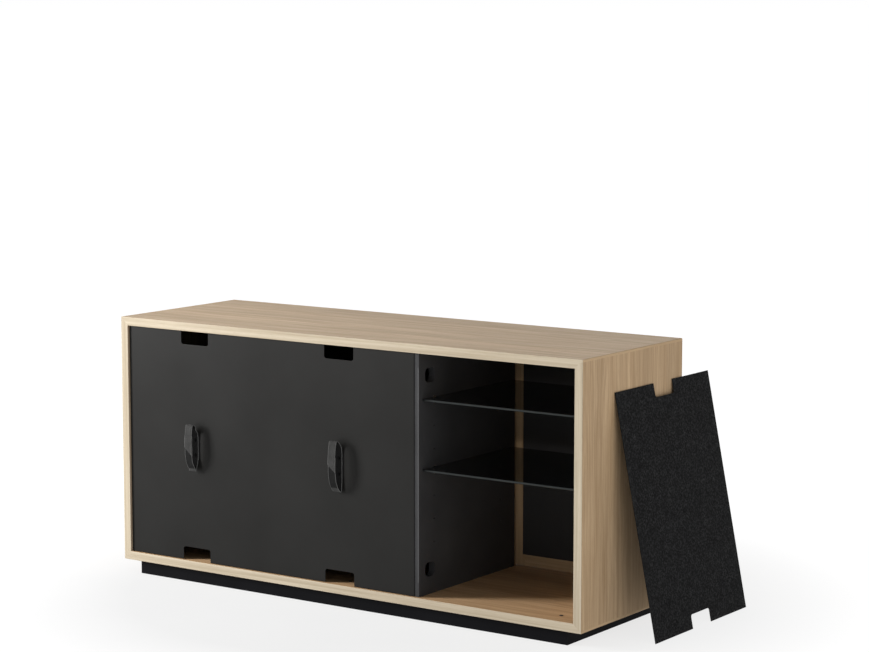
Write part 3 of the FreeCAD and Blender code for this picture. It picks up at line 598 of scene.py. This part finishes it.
def strap_route(bow, fold, half, flat, lift, tail):
    """The strap's middle line as (stand-off, height) vectors, from the end under the overlap,
    round the lower fold, up the plate, over the upper fold and down to the tail."""
    under = STRAP_T + STRAP_GAP
    base = STRAP_BASE + STRAP_T / 2
    tail_end = tail - TAIL_SLANT / 2
    points = [
        (0.97 * bow - under, 0.40 * half),
        (bow - under, 0.0),
        (0.94 * bow - 0.6 * under, -0.35 * half),
        (0.74 * bow, -0.68 * half),
        (0.45 * bow, -0.92 * half),
        (base + lift + 3 * MM, -half),
        (base + lift, -0.86 * half),
        (base + 0.3 * lift, -0.62 * half),
        (base, -flat),
        (base, -0.5 * flat),
        (base, 0.0),
        (base, 0.5 * flat),
        (base, flat),
        (base + 0.3 * lift, 0.62 * half),
        (base + lift + 2 * MM, 0.78 * half),
        (0.6 * fold, 0.95 * half),
        (fold, half),
        (0.89 * bow, 0.75 * half),
        (0.97 * bow, 0.40 * half),
        (bow, 0.0),
        (0.985 * bow, tail_end),
    ]
    return Path([Vector(point) for point in points])


def strap_section():
    """(across, through) points round a strap's section, with rounded edges."""
    half_width = STRAP_WIDTH / 2
    half_t = STRAP_T / 2
    flat = half_width - STRAP_EDGE
    top = [
        (-flat + 2 * flat * column / STRAP_COLUMNS, half_t)
        for column in range(STRAP_COLUMNS + 1)
    ]
    bulge = [(half_width - STRAP_EDGE * 0.2, half_t * 0.55), (half_width, 0.0)]
    right = bulge + [(bulge[0][0], -bulge[0][1])]
    bottom = [(x, -y) for x, y in reversed(top)]
    left = [(-x, y) for x, y in reversed(right)]
    return top + right + bottom + left


def strap_grid(route, origin, out, up):
    """A strap's vertices, one section after another, and how far each is along, across and
    through the strap."""
    side = out.cross(up)
    section = strap_section()
    vertices = []
    values = {"along": [], "across": [], "through": []}
    for step in range(STRAP_STEPS + 1):
        reach = route.length * step / STRAP_STEPS
        near_tail = max(0.0, 1 - (route.length - reach) / TAIL_BLEND)
        for x, through in section:
            slant = -TAIL_SLANT * (x / STRAP_WIDTH + 0.5) * near_tail
            point, direction = route.at(reach + slant)
            ripple = RIPPLE * math.sin(reach * RIPPLE_RATE) * (2 * x / STRAP_WIDTH) ** 2
            stand, height = point + Vector((direction.y, -direction.x)) * (through + ripple)
            vertices.append(origin + out * stand + up * height + side * x)
            values["along"].append(reach + slant)
            values["across"].append(x)
            values["through"].append(through)
    return vertices, values


def tube_faces(rows, count):
    """Faces between rows of count vertices each, every row a closed ring, and at both ends."""
    faces = []
    for row in range(rows - 1):
        for index in range(count):
            after = (index + 1) % count
            here, there = row * count, (row + 1) * count
            faces.append((here + index, here + after, there + after, there + index))
    faces.append(tuple(reversed(range(count))))
    faces.append(tuple(range((rows - 1) * count, rows * count)))
    return faces


def make_strap(place, body, origin, out, up):
    """The strap that stands for the CAD node strap_PLACE. origin is on the panel's outer face at
    the middle of the strap, out points off the panel and up along the strap."""
    vertices, values = strap_grid(strap_route(*STRAP_SHAPES[place]), origin, out, up)
    rows = STRAP_STEPS + 1
    mesh = bpy.data.meshes.new("cable_strap_" + place)
    mesh.from_pydata(vertices, [], tube_faces(rows, len(vertices) // rows))
    for attribute, numbers in values.items():
        mesh.attributes.new(attribute, "FLOAT", "POINT").data.foreach_set("value", numbers)
    for polygon in mesh.polygons:
        polygon.use_smooth = len(polygon.vertices) == 4
    mesh.validate()
    mesh.materials.append(WEBBING)
    strap = bpy.data.objects.new(mesh.name, mesh)
    bpy.context.scene.collection.objects.link(strap)
    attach(strap, body)
    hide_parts("strap_" + place)


def middle(node):
    low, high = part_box(node)
    return (low + high) / 2


def wide_panel_straps():
    face_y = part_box("back_panel_wide")[1].y
    for place in ("centre", "right"):
        origin = Vector((middle("strap_" + place).x, face_y, middle("back_panel_wide").z))
        make_strap(place, "panel_wide", origin, Vector((0, 1, 0)), Vector((0, 0, 1)))


def small_panel_strap():
    """The small panel leans with its outer face, and so its strap, towards the cabinet."""
    wide_low, wide_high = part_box("back_panel_wide")
    height = wide_high.z - wide_low.z
    low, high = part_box("back_panel_small")
    lean = math.asin((high.x - low.x - PANEL_T) / height)
    up = Vector((math.sin(lean), 0, math.cos(lean)))
    out = Vector((math.cos(lean), 0, -math.sin(lean)))
    foot = Vector((high.x - height * math.sin(lean), middle("strap_plate_small").y, 0))
    make_strap("left", "panel_small", foot + up * height / 2, out, up)


# ---- floor, light and camera -------------------------------------------------------------------
def make_floor():
    """A floor that ends far beyond the view's horizon."""
    reach = 1000.0
    mesh = bpy.data.meshes.new("floor")
    corners = [(-reach, -reach, 0), (reach, -reach, 0), (reach, reach, 0), (-reach, reach, 0)]
    mesh.from_pydata(corners, [], [(0, 1, 2, 3)])
    mesh.materials.append(floor_paint())
    floor = bpy.data.objects.new("floor", mesh)
    bpy.context.scene.collection.objects.link(floor)


def sun_light(name, towards_light, strength, spread):
    """A large, far light: its rays spread over an angle given in degrees."""
    data = bpy.data.lights.new(name, "SUN")
    data.energy = strength
    data.angle = math.radians(spread)
    light = bpy.data.objects.new(name, data)
    light.rotation_euler = Vector(towards_light).to_track_quat("Z", "Y").to_euler()
    bpy.context.scene.collection.objects.link(light)


def soft_box(name, place, target, width, height, power):
    """An area light that faces its target."""
    data = bpy.data.lights.new(name, "AREA")
    data.shape = "RECTANGLE"
    data.size = width
    data.size_y = height
    data.energy = power
    light = bpy.data.objects.new(name, data)
    light.location = place
    light.rotation_euler = (Vector(place) - Vector(target)).to_track_quat("Z", "Y").to_euler()
    bpy.context.scene.collection.objects.link(light)


def make_world():
    """White all round the horizon, fading to a dim ceiling."""
    world = bpy.data.worlds.new("studio")
    world.use_nodes = True
    tree = world.node_tree
    background = tree.nodes["Background"]
    direction = tree.nodes.new("ShaderNodeTexCoord")
    parts = tree.nodes.new("ShaderNodeSeparateXYZ")
    fade = tree.nodes.new("ShaderNodeMapRange")
    fade_range = {"From Min": 0.02, "From Max": 0.40, "To Min": 1.0, "To Max": 0.15}
    for socket, value in fade_range.items():
        fade.inputs[socket].default_value = value
    tree.links.new(direction.outputs["Generated"], parts.inputs[0])
    tree.links.new(parts.outputs["Z"], fade.inputs["Value"])
    tree.links.new(fade.outputs[0], background.inputs["Strength"])
    background.inputs["Color"].default_value = (1.0, 1.0, 1.0, 1.0)
    bpy.context.scene.world = world


def make_lights():
    make_world()
    soft_box("key", (4.1, 2.75, 1.95), (0.3, 0.2, 0.4), width=1.1, height=2.6, power=390)
    sun_light("side_fill", (-0.90, 0.22, 0.30), strength=0.66, spread=60)
    sun_light("front_fill", (0.30, -0.93, 0.20), strength=0.9, spread=60)


def make_camera():
    """A view of the cabinet's back, from a little above its top."""
    data = bpy.data.cameras.new("camera")
    data.sensor_width = 36.0
    data.lens = 104.3
    data.clip_end = 3000
    camera = bpy.data.objects.new("camera", data)
    yaw, pitch = math.radians(34.94), math.radians(7.27)
    forward = Vector((
        math.sin(yaw) * math.cos(pitch), -math.cos(yaw) * math.cos(pitch), -math.sin(pitch)
    ))
    camera.location = (-4.122, 5.693, 1.657)
    camera.rotation_euler = forward.to_track_quat("-Z", "Y").to_euler()
    bpy.context.scene.collection.objects.link(camera)
    bpy.context.scene.camera = camera


make_camera()
make_lights()
make_floor()
WEBBING = webbing()
paint_case()
paint_plinth()
paint_shelves()
paint_doors()
paint_back_panels()
wide_panel_straps()
small_panel_strap()
bpy.context.scene.view_settings.view_transform = "Standard"
